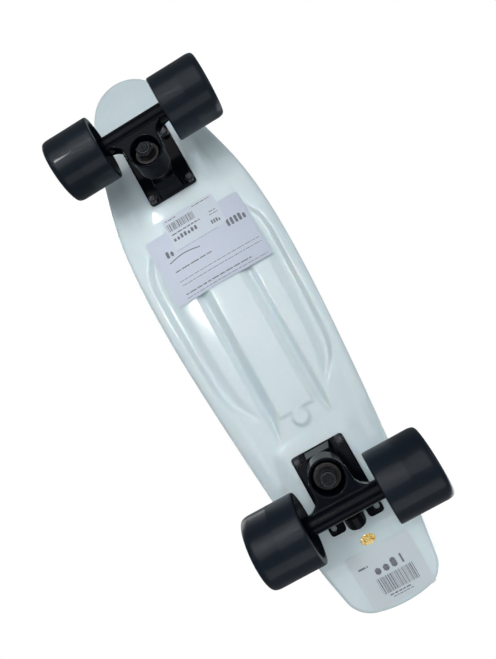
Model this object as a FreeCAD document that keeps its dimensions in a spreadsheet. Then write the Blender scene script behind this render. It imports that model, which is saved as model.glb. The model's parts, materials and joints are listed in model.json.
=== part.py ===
"""A 22-inch moulded cruiser skateboard with two bushing trucks and four 59 mm wheels.

Millimetres. +X points to the nose, +Y to the rider's left and +Z up; the origin is on the
floor, under the middle of the board. Each truck is drawn in its own frame, with its origin on
the floor under the axle and +X pointing outboard, to the nearer end of the board.
"""
import FreeCAD, Part
import math
import os
import re
import Sketcher

DIMENSIONS = {
    # deck
    "nose_end": 285,
    "tail_end": -285,
    "deck_underside": 82,
    "deck_thickness": 10,
    "deck_width": 150,
    "tail_arc_radius": 105,
    "tail_arc_angle": 14.3,
    "tail_corner_radius": 25.6,
    "tail_side_angle": 8.1,
    "nose_arc_radius": 38.6,
    "nose_arc_angle": 52,
    "concave_rise": 4.5,
    "kick_start": -212.7,
    "kick_radius": 60,
    "kick_angle": 24,
    "nose_start": 225,
    "nose_radius": 150,
    "nose_angle": 4,
    "rim_round": 3.5,
    "pad_length": 77,
    "pad_width": 54,
    "groove_from": -112,
    "groove_to": 112,
    "groove_middle": 24.5,
    "groove_width": 8,
    "groove_depth": 3,
    # layout of the running gear
    "truck_middle": 7,
    "wheelbase": 370,
    "axle_height": 29.5,
    "hanger_half_width": 41.3,
    # baseplate and its bolts
    "plate_inboard": -49,
    "plate_outboard": 25,
    "plate_width": 51,
    "plate_thickness": 4.2,
    "plate_corner": 3,
    "plate_notch": 22,
    "bolt_inboard": -44.6,
    "bolt_spacing_x": 54,
    "spare_spacing_x": 63.5,
    "bolt_spacing_y": 41.3,
    "bolt_hole": 2.7,
    "bolt_radius": 2.5,
    "bolt_head_radius": 4.7,
    "bolt_head_height": 2.4,
    "bolt_protrusion": 1.2,
    "bolt_socket": 1.7,
    "nut_across": 8,
    "nut_height": 5,
    # kingpin stack, measured down the kingpin from its seat on the baseplate
    "seat_x": -31.2,
    "seat_z": 57,
    "kingpin_lean": 10,
    "kingpin_radius": 4.76,
    "kingpin_hole": 4.81,
    "kingpin_head_radius": 7.5,
    "kingpin_head_top": -22.6,
    "kingpin_head_height": 5.2,
    "kingpin_end": 37,
    "tower_radius": 12.2,
    "washer_thickness": 1.3,
    "lower_washer_radius": 12,
    "upper_washer_radius": 11,
    "lower_bushing_radius": 11.6,
    "upper_bushing_radius": 10.6,
    "bushing_bore": 5,
    "yoke_top": 8.5,
    "yoke_floor_top": 13.75,
    "yoke_floor_bottom": 18.75,
    "yoke_bottom": 29.6,
    "upper_washer_at": 26.1,
    "kingpin_nut_across": 14.3,
    "kingpin_nut_height": 6.4,
    "kingpin_nut_collar": 6.5,
    # hanger
    "yoke_radius": 15.3,
    "yoke_cup_radius": 13.3,
    "yoke_hole": 6.6,
    "neck_half_width": 16.3,
    "neck_bottom": 25,
    "neck_top": 38,
    "flare_half_width": 32,
    "flare_inboard": -6,
    "beam_radius": 8,
    "web_half_width": 4.5,
    # pivot
    "pivot_x": 13.5,
    "pivot_z": 65,
    "pivot_ball_radius": 5,
    "pivot_stem_radius": 4,
    "pivot_clearance": 0.08,
    "pivot_cup_radius": 6.8,
    "pivot_cup_depth": 7.4,
    "pivot_house_radius": 8.6,
    "pivot_house_end": 9.2,
    # axle, bearings (608) and spacers
    "axle_radius": 3.97,
    "axle_half_length": 75.8,
    "axle_nut_across": 12.7,
    "axle_nut_height": 6.5,
    "axle_nut_collar": 5.6,
    "speed_washer_thickness": 1,
    "speed_washer_radius": 5.8,
    "bearing_bore": 4,
    "bearing_radius": 11,
    "bearing_width": 7,
    "inner_land": 6,
    "outer_land": 9,
    "ball_pitch": 7.5,
    "ball_radius": 1.98,
    "raceway_radius": 2.2,
    "ball_pocket": 2.1,
    "cage_width": 5,
    "cage_inner": 6.8,
    "cage_outer": 8.2,
    "shield_inner": 6.7,
    "shield_thickness": 0.3,
    "shield_recess": 0.2,
    "spacer_length": 10,
    "spacer_radius": 5.2,
    # wheel
    "wheel_radius": 29.5,
    "wheel_width": 46,
    "tyre_edge": 3.6,
    "tyre_lip_radius": 24.6,
    "tyre_shoulder_radius": 21.8,
    "tyre_shoulder_depth": 9,
    "core_radius": 17,
    "core_length": 25,
    "core_bore": 8.4,
    "bearing_seat_gap": 0.02,
    # paper labels, and the foil seal near the kick
    "label_thickness": 0.2,
    "care_label_from": 43,
    "care_label_to": 115,
    "care_label_right": -50,
    "care_label_left": 53,
    "bar_label_from": 93,
    "bar_label_to": 126,
    "bar_label_right": -25,
    "bar_label_left": 31,
    "tail_label_from": -280,
    "tail_label_to": -224.6,
    "tail_label_right": -27,
    "tail_label_left": 33,
    "seal_middle": -218,
    "seal_length": 9,
    "seal_width": 13.6,
}
# Half-widths of the deck along its sides, (x, y), between the tail corners and the nose arc.
SIDE_STATIONS = [(-150, 58.7), (-60, 67.7), (50, 74.7), (147, 69.2), (200, 57)]
BALLS_PER_BEARING = 7
BOTH_WAYS = (1, -1)
UP = (0, 0, 1)
ALONG_Y = (0, 1, 0)
ALONG_X = (1, 0, 0)

doc = FreeCAD.newDocument("skateboard")
sheet = doc.addObject("Spreadsheet::Sheet", "dims")
for row, (alias, number) in enumerate(DIMENSIONS.items(), start=1):
    sheet.set(f"A{row}", alias)
    sheet.set(f"B{row}", str(number))
    sheet.setAlias(f"B{row}", alias)
doc.recompute()
nodes = []


# ---------------------------------------------------------------- sheet and placement helpers

def formula(text):
    """The expression text with the sheet's name before each of its aliases."""
    def named(match):
        word = match.group()
        return "dims." + word if word in DIMENSIONS else word
    return re.sub(r"[a-z]\w*", named, str(text))


def value(text):
    """What an expression over the sheet's aliases comes to."""
    return float(sheet.evalExpression(formula(text)))


def bind(item, **sizes):
    for name, text in sizes.items():
        item.setExpression(name, formula(text))


def point(at):
    return FreeCAD.Vector(*(value(c) for c in at))


def placed(at=(0, 0, 0), axis=UP, turn=0):
    """A placement whose Z points along axis, after a turn in degrees about Z."""
    lean = FreeCAD.Rotation(FreeCAD.Vector(*UP), FreeCAD.Vector(*axis))
    spin = FreeCAD.Rotation(FreeCAD.Vector(*UP), turn)
    return FreeCAD.Placement(point(at), lean.multiply(spin))


def truck_frame(end):
    """The placement of a truck's own frame: end is +1 at the nose and -1 at the tail."""
    at = (f"truck_middle + {end} * wheelbase / 2", 0, 0)
    return placed(at, turn=0 if end > 0 else 180)


def down_kingpin(distance=0):
    """The frame of a piece on the kingpin: Z points down the kingpin, zero is on its seat."""
    lean = math.radians(value("kingpin_lean"))
    axis = FreeCAD.Vector(math.sin(lean), 0, -math.cos(lean))
    place = FreeCAD.Placement(point(("seat_x", 0, "seat_z")),
                              FreeCAD.Rotation(FreeCAD.Vector(*UP), axis))
    return place.multiply(FreeCAD.Placement(FreeCAD.Vector(0, 0, value(distance)),
                                            FreeCAD.Rotation()))


def yoke_centre():
    middle = value("(yoke_floor_top + yoke_floor_bottom) / 2")
    return down_kingpin(middle).Base


def pivot_frame(distance=0):
    """The frame of a piece on the steering axis: Z points from the yoke to the pivot."""
    pivot = point(("pivot_x", 0, "pivot_z"))
    axis = (pivot - yoke_centre()).normalize()
    base = pivot + axis * value(distance)
    return FreeCAD.Placement(base, FreeCAD.Rotation(FreeCAD.Vector(*UP), axis))


def node(label, item, place=None):
    """Take an object as a finished sub-part, moved as a whole by place."""
    item.Label = label
    if place is not None:
        item.Placement = place.multiply(item.Placement)
    nodes.append(item)
    return item


# ---------------------------------------------------------------- shape helpers

def cylinder(radius, height, place):
    item = doc.addObject("Part::Cylinder", "cylinder")
    bind(item, Radius=radius, Height=height)
    item.Placement = place
    return item


def cone(radius1, radius2, height, place):
    item = doc.addObject("Part::Cone", "cone")
    bind(item, Radius1=radius1, Radius2=radius2, Height=height)
    item.Placement = place
    return item


def sphere(radius, centre):
    item = doc.addObject("Part::Sphere", "sphere")
    bind(item, Radius=radius)
    item.Placement = placed(centre)
    return item


def hexagon(across, height, place):
    item = doc.addObject("Part::Prism", "hexagon")
    item.Polygon = 6
    bind(item, Circumradius=f"({across}) / sqrt(3)", Height=height)
    item.Placement = place
    return item


def block(low, high):
    """A box between two corners, each given as three expressions."""
    item = doc.addObject("Part::Box", "block")
    spans = [f"({b}) - ({a})" for a, b in zip(low, high)]
    bind(item, Length=spans[0], Width=spans[1], Height=spans[2])
    item.Placement = placed(low)
    return item


def fuse(*pieces):
    item = doc.addObject("Part::MultiFuse", "fuse")
    item.Shapes = list(pieces)
    item.Refine = True
    return item


def group(*pieces):
    item = doc.addObject("Part::Compound", "group")
    item.Links = list(pieces)
    return item


def cut(base, *tools):
    item = doc.addObject("Part::Cut", "cut")
    item.Base = base
    item.Tool = tools[0] if len(tools) == 1 else group(*tools)
    item.Refine = True
    return item


def common(base, tool):
    item = doc.addObject("Part::Common", "common")
    item.Base = base
    item.Tool = tool
    return item


def rounded(base, radius, chosen):
    """Round the edges of an object that chosen picks."""
    doc.recompute()
    size = value(radius)
    item = doc.addObject("Part::Fillet", "rounded")
    item.Base = base
    item.Edges = [(k, size, size) for k, edge in enumerate(base.Shape.Edges, 1) if chosen(edge)]
    return item


def polygon(sketch, corners):
    """Add a closed outline to a sketch, each corner held by two expressions."""
    points = [FreeCAD.Vector(value(x), value(y), 0) for x, y in corners]
    count = len(points)
    first = sketch.GeometryCount
    for k in range(count):
        sketch.addGeometry(Part.LineSegment(points[k], points[(k + 1) % count]))
    for k in range(count):
        following = first + (k + 1) % count
        sketch.addConstraint(Sketcher.Constraint("Coincident", first + k, 2, following, 1))
    for k, (x, y) in enumerate(corners):
        for kind, text, size in (("DistanceX", x, points[k].x), ("DistanceY", y, points[k].y)):
            index = sketch.addConstraint(
                Sketcher.Constraint(kind, -1, 1, first + k, 1, size))
            sketch.setExpression(f"Constraints[{index}]", formula(text))


def body_sketch(body, plane):
    sketch = body.newObject("Sketcher::SketchObject", "sketch")
    support = [f for f in body.Origin.OriginFeatures if f.Role == plane][0]
    sketch.AttachmentSupport = [(support, "")]
    sketch.MapMode = "FlatFace"
    return sketch


def turned(corners, plane="XZ_Plane"):
    """A body turned from an outline of (radius, height): about Z, or about Y in XY_Plane."""
    body = doc.addObject("PartDesign::Body", "turned")
    sketch = body_sketch(body, plane)
    polygon(sketch, corners)
    turn = body.newObject("PartDesign::Revolution", "turn")
    turn.Profile = sketch
    turn.ReferenceAxis = (sketch, ["V_Axis"])
    turn.Angle = 360
    body.Tip = turn
    return body


def ring(inner, outer, low, high, plane="XZ_Plane"):
    return turned([(inner, low), (outer, low), (outer, high), (inner, high)], plane)


def milled(corners, plane, length, middle=True):
    """A body padded from an outline, about its sketch plane or on one side of it."""
    body = doc.addObject("PartDesign::Body", "milled")
    sketch = body_sketch(body, plane)
    polygon(sketch, corners)
    pad = body.newObject("PartDesign::Pad", "pad")
    pad.Profile = sketch
    pad.Midplane = middle
    bind(pad, Length=length)
    body.Tip = pad
    return body


def round_body(body, radius, chosen):
    """Round the edges of a body's last feature that chosen picks."""
    doc.recompute()
    last = body.Tip
    names = [f"Edge{k}" for k, edge in enumerate(last.Shape.Edges, 1) if chosen(edge)]
    fillet = body.newObject("PartDesign::Fillet", "fillet")
    fillet.Base = (last, names)
    bind(fillet, Radius=radius)
    body.Tip = fillet
    return body


# ---------------------------------------------------------------- deck and labels

def deck_path():
    """Corners of the underside's centre line in the XZ plane: tail, two bends, nose."""
    kick = math.radians(value("kick_angle"))
    lift = math.radians(value("nose_angle"))
    floor = value("deck_underside")
    tail_start = value("kick_start") - value("kick_radius") * math.sin(kick)
    tail_height = floor + value("kick_radius") * (1 - math.cos(kick))
    nose_start = value("nose_start") + value("nose_radius") * math.sin(lift)
    nose_height = floor + value("nose_radius") * (1 - math.cos(lift))
    run = tail_start - value("tail_end") + 15
    rise = value("nose_end") - nose_start + 15
    return [
        FreeCAD.Vector(tail_start - run, 0, tail_height + run * math.tan(kick)),
        FreeCAD.Vector(tail_start, 0, tail_height),
        FreeCAD.Vector(value("kick_start"), 0, floor),
        FreeCAD.Vector(value("nose_start"), 0, floor),
        FreeCAD.Vector(nose_start, 0, nose_height),
        FreeCAD.Vector(nose_start + rise, 0, nose_height + rise * math.tan(lift)),
    ]


def bend_middle(start, radius, angle, side):
    """Halfway point of a bend that leaves the flat underside at start."""
    half = math.radians(value(angle)) / 2
    return FreeCAD.Vector(value(start) + side * value(radius) * math.sin(half), 0,
                          value("deck_underside") + value(radius) * (1 - math.cos(half)))


def channel(drop):
    """The endless deck: its concave section swept along the rockered centre line.

    drop lowers the whole of it, which leaves a thin skin under the deck to cut labels from.
    """
    tail, kick_end, kick_start, nose_start, nose_end, nose = deck_path()
    spine = Part.Wire([
        Part.LineSegment(tail, kick_end).toShape(),
        Part.Arc(kick_end, bend_middle("kick_start", "kick_radius", "kick_angle", -1),
                 kick_start).toShape(),
        Part.LineSegment(kick_start, nose_start).toShape(),
        Part.Arc(nose_start, bend_middle("nose_start", "nose_radius", "nose_angle", 1),
                 nose_end).toShape(),
        Part.LineSegment(nose_end, nose).toShape(),
    ])
    half = value("deck_width") / 2
    rise = value("concave_rise")
    thick = value("deck_thickness")
    corners = [FreeCAD.Vector(0, y, z) for y, z in (
        (-half, rise), (0, 0), (half, rise), (half, rise + thick), (0, thick),
        (-half, rise + thick))]
    section = Part.Wire([
        Part.Arc(corners[0], corners[1], corners[2]).toShape(),
        Part.LineSegment(corners[2], corners[3]).toShape(),
        Part.Arc(corners[3], corners[4], corners[5]).toShape(),
        Part.LineSegment(corners[5], corners[0]).toShape(),
    ])
    tilt = FreeCAD.Rotation(FreeCAD.Vector(*ALONG_Y), value("kick_angle"))
    section.Placement = FreeCAD.Placement(tail, tilt)
    item = doc.addObject("Part::Feature", "channel")
    item.Shape = spine.makePipe(Part.Face(section))
    item.Placement = placed((0, 0, f"-{drop}"))
    return item


def heading(angle):
    """The unit vector at an angle in degrees from +X."""
    return FreeCAD.Vector(math.cos(math.radians(angle)), math.sin(math.radians(angle)), 0)


def arc(centre, radius, start, end):
    """An arc's edge between two angles in degrees about a centre."""
    points = [centre + heading(angle) * radius for angle in (start, (start + end) / 2, end)]
    return Part.Arc(*points).toShape()


def footprint():
    """The deck's outline, seen from above, as a tall prism."""
    tail_angle = 180 - value("tail_arc_angle")
    side_angle = 90 + value("tail_side_angle")
    nose_angle = value("nose_arc_angle")
    tail_radius = value("tail_arc_radius")
    corner_radius = value("tail_corner_radius")
    nose_radius = value("nose_arc_radius")
    tail_centre = FreeCAD.Vector(value("tail_end") + tail_radius, 0, 0)
    corner_centre = tail_centre + heading(tail_angle) * (tail_radius - corner_radius)
    nose_centre = FreeCAD.Vector(value("nose_end") - nose_radius, 0, 0)
    corner = arc(corner_centre, corner_radius, tail_angle, side_angle)
    side_start = corner_centre + heading(side_angle) * corner_radius
    side_end = nose_centre + heading(nose_angle) * nose_radius
    stations = [side_start] + [FreeCAD.Vector(x, y, 0) for x, y in SIDE_STATIONS] + [side_end]
    side = Part.BSplineCurve()
    side.interpolate(Points=stations, InitialTangent=heading(side_angle - 90),
                     FinalTangent=heading(nose_angle - 90), Scale=False)
    left = [corner, side.toShape()]
    right = [edge.mirror(FreeCAD.Vector(), FreeCAD.Vector(*ALONG_Y)) for edge in left]
    ends = [arc(tail_centre, tail_radius, tail_angle, 360 - tail_angle),
            arc(nose_centre, nose_radius, -nose_angle, nose_angle)]
    outline = Part.Wire(Part.__sortEdges__(left + right + ends))
    item = doc.addObject("Part::Feature", "footprint")
    item.Shape = Part.Face(outline).extrude(FreeCAD.Vector(0, 0, 200))
    return item


def mounting_holes(spacing):
    """(x, y) of a baseplate's four holes in the truck's frame."""
    return [(f"bolt_inboard + {along} * {spacing}", f"{side} * bolt_spacing_y / 2")
            for along in (0, 1) for side in BOTH_WAYS]


def in_truck(end, item):
    item.Placement = truck_frame(end).multiply(item.Placement)
    return item


def deck_top_at_bolt():
    return value("deck_underside + deck_thickness + concave_rise"
                 " * pow(bolt_spacing_y / deck_width; 2)")


def screw_hole(end, x, y):
    """A clearance hole with a countersink that the screw's head fills flush."""
    top = deck_top_at_bolt()
    shaft = cylinder("bolt_hole", 40, placed((x, y, "deck_underside - 10")))
    sink = cone("bolt_hole", "bolt_head_radius + 0.3", "bolt_head_height + 0.1",
                placed((x, y, f"{top} - bolt_head_height - 0.1")))
    relief = cylinder("bolt_head_radius + 0.3", 4, placed((x, y, top)))
    return in_truck(end, fuse(shaft, sink, relief))


def mounting_pad(end):
    """A flat under the deck that the baseplate beds on."""
    low = ("plate_inboard - 1.5", "-pad_width / 2", "deck_underside")
    high = ("plate_inboard - 1.5 + pad_length", "pad_width / 2", "deck_underside + 2")
    return in_truck(end, block(low, high))


def groove(side):
    """One of the two long grooves under the deck, with round ends."""
    y = f"{side} * groove_middle"
    floor = "deck_underside - 1"
    deep = "groove_depth + 1"
    low = ("groove_from + groove_width / 2", f"{y} - groove_width / 2", floor)
    high = ("groove_to - groove_width / 2", f"{y} + groove_width / 2", f"{floor} + {deep}")
    ends = [cylinder("groove_width / 2", deep, placed((x, y, floor)))
            for x in (low[0], high[0])]
    return fuse(block(low, high), *ends)


def deck():
    blank = common(channel(0), footprint())
    smooth = rounded(blank, "rim_round", on_rim)
    padded = fuse(smooth, *(mounting_pad(end) for end in BOTH_WAYS))
    holes = [screw_hole(end, x, y) for end in BOTH_WAYS
             for x, y in mounting_holes("bolt_spacing_x")]
    grooves = [groove(side) for side in BOTH_WAYS]
    node("deck", cut(padded, *holes, *grooves))


def on_rim(edge):
    """Whether an edge of the blank runs round its upper or lower rim."""
    middle = edge.valueAt((edge.FirstParameter + edge.LastParameter) / 2)
    tangent = edge.tangentAt((edge.FirstParameter + edge.LastParameter) / 2)
    return abs(tangent.z) < 0.9 and abs(middle.y) > 0.5 and edge.Length > 20


def label_skin(layer):
    """The thin skin under the deck that labels of one layer are cut from."""
    return cut(channel(f"{layer} * label_thickness"),
               channel(f"{layer - 1} * label_thickness"))


def paper(name, layer, margin=0):
    """A rectangular label, named by its dimensions, that follows the underside."""
    low = (f"{name}_from", f"{name}_right", 60)
    high = (f"{name}_to", f"{name}_left", "deck_underside + 60")
    return common(label_skin(layer), block(low, high))


def labels():
    node("care_label", paper("care_label", 1))
    node("bar_label", paper("bar_label", 2))
    node("tail_label", paper("tail_label", 1))
    oval = cylinder("seal_width / 2", 60, placed(("seal_middle", 0, 60)))
    trim = block(("seal_middle - seal_length / 2", "-seal_width", 60),
                 ("seal_middle + seal_length / 2", "seal_width", 120))
    node("foil_seal", common(label_skin(1), common(oval, trim)))


# ---------------------------------------------------------------- fasteners of the deck

def deck_screw(end, x, y):
    top = deck_top_at_bolt() - 0.1
    tip = "deck_underside - plate_thickness - nut_height - bolt_protrusion"
    shank = cylinder("bolt_radius", f"{top} - 1 - ({tip})", placed((x, y, tip)))
    head = cone("bolt_radius", "bolt_head_radius", "bolt_head_height",
                placed((x, y, f"{top} - bolt_head_height")))
    socket = hexagon("bolt_socket * 2", 2, placed((x, y, f"{top} - 1.5")))
    return in_truck(end, cut(fuse(shank, head), socket))


def lock_nut(across, height, bore, collar, collar_height, place):
    """A hexagon nut with the round collar of its nylon insert on top."""
    body = hexagon(across, height, place)
    raised = place.multiply(FreeCAD.Placement(FreeCAD.Vector(0, 0, value(height)),
                                              FreeCAD.Rotation()))
    dome = cone(collar, f"{collar} - 0.6", collar_height, raised)
    hole = cylinder(bore, f"{height} + {collar_height}", place)
    return cut(fuse(body, dome), hole)


def deck_nut(end, x, y):
    down = (0, 0, -1)
    place = placed((x, y, "deck_underside - plate_thickness"), down, turn=30)
    return in_truck(end, lock_nut("nut_across", "nut_height - 1.2", "bolt_radius + 0.02",
                                  3.7, 1.2, place))


def deck_fasteners():
    spots = [(end, x, y) for end in BOTH_WAYS for x, y in mounting_holes("bolt_spacing_x")]
    node("deck_screws", group(*(deck_screw(*spot) for spot in spots)))
    node("deck_nuts", group(*(deck_nut(*spot) for spot in spots)))


# ---------------------------------------------------------------- truck: baseplate side

def baseplate():
    bottom = "deck_underside - plate_thickness"
    flange = block(("plate_inboard", "-plate_width / 2", bottom),
                   ("plate_outboard", "plate_width / 2", "deck_underside"))
    notch = block(("plate_outboard - 8", "-plate_notch / 2", f"{bottom} - 1"),
                  ("plate_outboard + 1", "plate_notch / 2", "deck_underside + 1"))
    corners = rounded(cut(flange, notch), "plate_corner",
                      lambda edge: abs(edge.tangentAt(edge.FirstParameter).z) > 0.99
                      and not -40 < edge.CenterOfMass.x < 20)
    tower = doc.addObject("Part::Wedge", "tower")
    bind(tower, Xmin="plate_inboard + 0.3", Xmax="plate_inboard + 33",
         X2min="plate_inboard + 5.8", X2max="plate_inboard + 31",
         Zmin=-12.5, Zmax=12.5, Z2min=-10.5, Z2max=10.5, Ymin=0, Ymax="deck_underside - 52")
    tower.Placement = placed((0, 0, "deck_underside - 1"), (0, 1, 0))
    tower.Placement.Rotation = FreeCAD.Rotation(FreeCAD.Vector(*ALONG_X), -90)
    barrel = cylinder("tower_radius", "deck_underside - seat_z - 2", down_kingpin(-22.5))
    pivot_house = cylinder("pivot_house_radius", "pivot_house_end + 3", pivot_frame(-3))
    pivot_block = block(("pivot_x - 6", "-pivot_house_radius", "pivot_z + 4"),
                        ("plate_outboard - 4.5", "pivot_house_radius",
                         "deck_underside - 1"))
    rib = block((-20, -3, "deck_underside - 11"), ("pivot_x", 3, "deck_underside - 2"))
    above = block((-60, -40, "deck_underside"), (60, 40, "deck_underside + 40"))
    below_seat = cylinder(26, 20, down_kingpin(0))
    kingpin_hole = cylinder("kingpin_hole", 60, down_kingpin(-40))
    head_room = cylinder("kingpin_head_radius + 0.1", 20,
                         down_kingpin("kingpin_head_top + kingpin_head_height - 20"))
    socket = cylinder("pivot_cup_radius + 0.02", "pivot_cup_depth + 6", pivot_frame(-6))
    drilled = [cylinder("bolt_hole", 20, placed((x, y, "deck_underside - 10")))
               for x, y in mounting_holes("bolt_spacing_x")
               + mounting_holes("spare_spacing_x")[2:]]
    solid = fuse(corners, tower, barrel, pivot_house, pivot_block, rib)
    return cut(solid, above, below_seat, kingpin_hole, head_room, socket, *drilled)


def pivot_cup():
    """The urethane cup that the pivot's ball turns in, open toward the yoke."""
    bore = "pivot_ball_radius + pivot_clearance"
    outside = cylinder("pivot_cup_radius", "pivot_cup_depth + 4", pivot_frame(-4))
    barrel = cylinder(bore, 6, pivot_frame(-6))
    ball = doc.addObject("Part::Sphere", "socket")
    bind(ball, Radius=bore)
    ball.Placement = pivot_frame()
    return cut(outside, barrel, ball)


def kingpin():
    head = cylinder("kingpin_head_radius", "kingpin_head_height",
                    down_kingpin("kingpin_head_top"))
    shank = cylinder("kingpin_radius", "kingpin_end - kingpin_head_top - 1",
                     down_kingpin("kingpin_head_top + 1"))
    return fuse(head, shank)


def bushing(radius, height, waist):
    """A urethane bushing with a slightly narrower waist and chamfered ends."""
    return turned([("bushing_bore", 0), (f"{radius} - 1", 0), (radius, 1),
                   (f"{radius} - {waist}", f"({height}) / 2"), (radius, f"({height}) - 1"),
                   (f"{radius} - 1", height), ("bushing_bore", height)])


def kingpin_stack(name, place):
    """The pieces threaded on the kingpin, top to bottom."""
    lower_height = "yoke_floor_top - washer_thickness"
    upper_height = "upper_washer_at - yoke_floor_bottom"
    stack = [
        ("lower_washer", ring("kingpin_radius + 0.05", "lower_washer_radius", 0,
                              "washer_thickness"), 0),
        ("lower_bushing", bushing("lower_bushing_radius", lower_height, 0.8),
         "washer_thickness"),
        ("upper_bushing", bushing("upper_bushing_radius", upper_height, 0.5),
         "yoke_floor_bottom"),
        ("upper_washer", ring("kingpin_radius + 0.05", "upper_washer_radius", 0,
                              "washer_thickness"), "upper_washer_at"),
        ("kingpin_nut", lock_nut("kingpin_nut_across", "kingpin_nut_height",
                                 "kingpin_radius + 0.02", "kingpin_nut_collar", 1.8,
                                 FreeCAD.Placement()),
         "upper_washer_at + washer_thickness"),
    ]
    for part, item, distance in stack:
        node(f"{name}_{part}", item, place.multiply(down_kingpin(distance)))


# ---------------------------------------------------------------- truck: hanger side

def neck():
    """The waisted arm between the yoke and the axle beam, seen from above."""
    inboard = yoke_centre().x
    waist = "neck_half_width"
    flare = "flare_half_width"
    reach = "flare_inboard"
    half = [(inboard, waist), (f"{reach} - 9.5", f"{waist} + 1"), (f"{reach} - 5.2", f"{waist} + 3.4"),
            (f"{reach} - 1.9", f"{waist} + 8"), (f"{reach} - 0.4", f"{flare} - 3"),
            (reach, flare), (0, flare)]
    mirrored = [(x, f"-({y})") for x, y in reversed(half)]
    body = milled(half + mirrored, "XY_Plane", "neck_top - neck_bottom", middle=False)
    body.Placement = placed((0, 0, "neck_bottom"))
    return body


def web():
    """The upright fin that carries the pivot stem."""
    root = yoke_centre().x + value("yoke_cup_radius") + 1
    corners = [(root, 30), (root, 47), ("pivot_x - 22", 57), ("pivot_x - 8", 59), (7, 40), (4, 30)]
    return milled(corners, "XZ_Plane", "web_half_width * 2")


def hanger():
    place = down_kingpin
    yoke = cylinder("yoke_radius", "yoke_bottom - yoke_top", place("yoke_top"))
    beam = cylinder("beam_radius", "hanger_half_width * 2",
                    placed((0, "-hanger_half_width", "axle_height"), ALONG_Y))
    root = cone("web_half_width + 3.5", "pivot_stem_radius", 17, pivot_frame(-25))
    stem = cylinder("pivot_stem_radius", 12, pivot_frame(-12))
    ball = doc.addObject("Part::Sphere", "ball")
    bind(ball, Radius="pivot_ball_radius")
    ball.Placement = pivot_frame()
    blank = fuse(yoke, beam, neck(), web(), root, stem, ball)
    upper_cup = cylinder("yoke_cup_radius", "yoke_floor_top - yoke_top + 6",
                         place("yoke_top - 6"))
    lower_cup = cylinder("yoke_cup_radius", "yoke_bottom - yoke_floor_bottom + 6",
                         place("yoke_floor_bottom"))
    hole = cylinder("yoke_hole", 30, place("yoke_top"))
    bore = cylinder("axle_radius + 0.02", "hanger_half_width * 2 + 2",
                    placed((0, "-hanger_half_width - 1", "axle_height"), ALONG_Y))
    return cut(blank, upper_cup, lower_cup, hole, bore)


def axle():
    tip = "axle_half_length"
    slim = "axle_radius - 0.8"
    body = turned([(0, f"-{tip}"), (slim, f"-{tip}"), ("axle_radius", f"-{tip} + 1"),
                   ("axle_radius", f"{tip} - 1"), (slim, tip), (0, tip)], "XY_Plane")
    body.Placement = placed((0, 0, "axle_height"))
    return body


def stack_start():
    """Where the first bearing begins, out along the axle from the truck's middle."""
    return "hanger_half_width + speed_washer_thickness"


def bearing_starts():
    first = stack_start()
    return [first, f"{first} + bearing_width + spacer_length"]


def wheel_middle():
    return f"{stack_start()} + bearing_width + spacer_length / 2"


def on_axle(item, side, distance):
    """Put a piece drawn outward from zero at a distance along one side of the axle."""
    item.Placement = placed((0, f"{side} * ({distance})", "axle_height"),
                            (0, side, 0)).multiply(item.Placement)
    return item


def axle_hardware(name, place):
    bore = "bearing_bore"
    last = f"{bearing_starts()[1]} + bearing_width"
    washers = [on_axle(ring(bore, "speed_washer_radius", 0, "speed_washer_thickness"),
                       side, at)
               for side in BOTH_WAYS for at in ("hanger_half_width", last)]
    spacers = [on_axle(ring(bore, "spacer_radius", 0, "spacer_length"), side,
                       f"{bearing_starts()[0]} + bearing_width") for side in BOTH_WAYS]
    nuts = [on_axle(lock_nut("axle_nut_across", "axle_nut_height - 1.5", bore,
                             "axle_nut_collar", 1.5, FreeCAD.Placement()),
                    side, f"{last} + speed_washer_thickness") for side in BOTH_WAYS]
    races = [on_axle(inner_race(), side, at) for side in BOTH_WAYS for at in bearing_starts()]
    for part, pieces in (("speed_washers", washers), ("bearing_spacers", spacers),
                         ("axle_nuts", nuts), ("inner_races", races)):
        node(f"{name}_{part}", group(*pieces), place)


# ---------------------------------------------------------------- bearings and wheels

def raceway():
    """The round track that the balls run in, as a solid to cut from the races."""
    item = doc.addObject("Part::Torus", "raceway")
    bind(item, Radius1="ball_pitch", Radius2="raceway_radius")
    item.Placement = placed((0, 0, "bearing_width / 2"))
    return item


def inner_race():
    return cut(ring("bearing_bore", "inner_land", 0, "bearing_width"), raceway())


def outer_race():
    return cut(ring("outer_land", "bearing_radius", 0, "bearing_width"), raceway())


def ball_directions():
    """Unit vectors from a bearing's axis to its balls, evenly spaced."""
    turns = [2 * math.pi * k / BALLS_PER_BEARING for k in range(BALLS_PER_BEARING)]
    return [(math.cos(turn), math.sin(turn), 0) for turn in turns]


def balls():
    """The balls of one bearing on their pitch circle."""
    return group(*(sphere("ball_radius", (f"ball_pitch * {x}", f"ball_pitch * {y}",
                                          "bearing_width / 2"))
                   for x, y, _ in ball_directions()))


def cage():
    """The ring that keeps the balls apart, with a drilled pocket for each."""
    low = "(bearing_width - cage_width) / 2"
    pockets = [cylinder("ball_pocket", "ball_pitch * 2", placed((0, 0, "bearing_width / 2"), axis))
               for axis in ball_directions()]
    return cut(ring("cage_inner", "cage_outer", low, f"{low} + cage_width"), *pockets)


def shields():
    """The two thin covers of one bearing, just inside its faces."""
    low = "shield_recess"
    high = "bearing_width - shield_recess - shield_thickness"
    return group(*(ring("shield_inner", "outer_land", at, f"{at} + shield_thickness")
                   for at in (low, high)))


def core():
    """The stiff hub inside the tyre, with a seat for a bearing at each end."""
    seat = "bearing_radius + bearing_seat_gap"
    half = "core_length / 2"
    shelf = "spacer_length / 2"
    return turned([("core_bore", f"-{shelf}"), (seat, f"-{shelf}"), (seat, f"-{half}"),
                   ("core_radius", f"-{half}"), ("core_radius", half), (seat, half),
                   (seat, shelf), ("core_bore", shelf)])


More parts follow.
